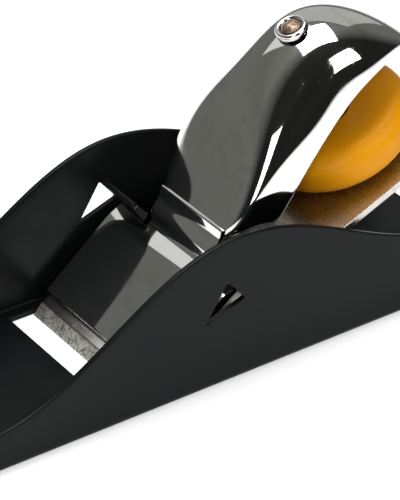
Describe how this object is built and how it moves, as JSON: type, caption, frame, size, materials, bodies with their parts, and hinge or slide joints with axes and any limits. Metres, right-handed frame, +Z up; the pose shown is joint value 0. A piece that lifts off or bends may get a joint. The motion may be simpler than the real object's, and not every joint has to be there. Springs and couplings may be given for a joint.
{
  "type": "hand plane",
  "caption": "Low-angle pressed-steel hand plane: humped channel body, bevel-up blade, hooded lever cap tightened by a thumb wheel",
  "frame": {"origin": "middle of the sole, at the height of its underside", "axes": "+X from toe to heel, +Y across to the left cheek, +Z up"},
  "size_m": [0.14, 0.048, 0.0629],
  "materials": {
    "black_paint": "satin black stove enamel on pressed steel",
    "plated_steel": "dull zinc-plated steel",
    "ground_steel": "ground and lightly stained tool steel",
    "polished_chrome": "mirror-bright chrome plate",
    "stud_steel": "peened steel with a brown tarnish",
    "yellow_plastic": "smooth moulded amber-yellow plastic",
    "brass": "turned brass"
  },
  "bodies": {
    "body": {"body": "black_paint", "blade_bed": "plated_steel", "bed_rivet_right": "plated_steel", "bed_rivet_left": "plated_steel"},
    "blade": {"blade": "ground_steel"},
    "lever_cap": {"lever_cap": "polished_chrome", "clamp_stud": "stud_steel", "stud_collar": "polished_chrome"},
    "pressure_foot": {"pressure_foot": "plated_steel"},
    "clamp_wheel": {"clamp_wheel": "yellow_plastic", "wheel_bush": "brass"}
  },
  "joints": [
    {"name": "blade_adjust", "type": "slide", "parent": "body", "child": "blade", "axis": [0.9205, 0, 0.3907], "range_m": [-0.0008, 0.015]},
    {"name": "cap_release", "type": "slide", "parent": "body", "child": "lever_cap", "axis": [0.9205, 0, 0.3907], "range_m": [0, 0.045]},
    {"name": "wheel_lift", "type": "slide", "parent": "lever_cap", "child": "pressure_foot", "axis": [-0.3907, 0, 0.9205], "range_m": [0, 0.003]},
    {"name": "wheel_spin", "type": "hinge", "parent": "pressure_foot", "child": "clamp_wheel", "pos_m": [0.04289, 0, 0.02928], "axis": [-0.3907, 0, 0.9205], "range_deg": [0, 1080]}
  ],
  "couplings": [
    {"joint": "wheel_lift", "follows": "wheel_spin", "m_per_rad": 0.00015915}
  ]
}
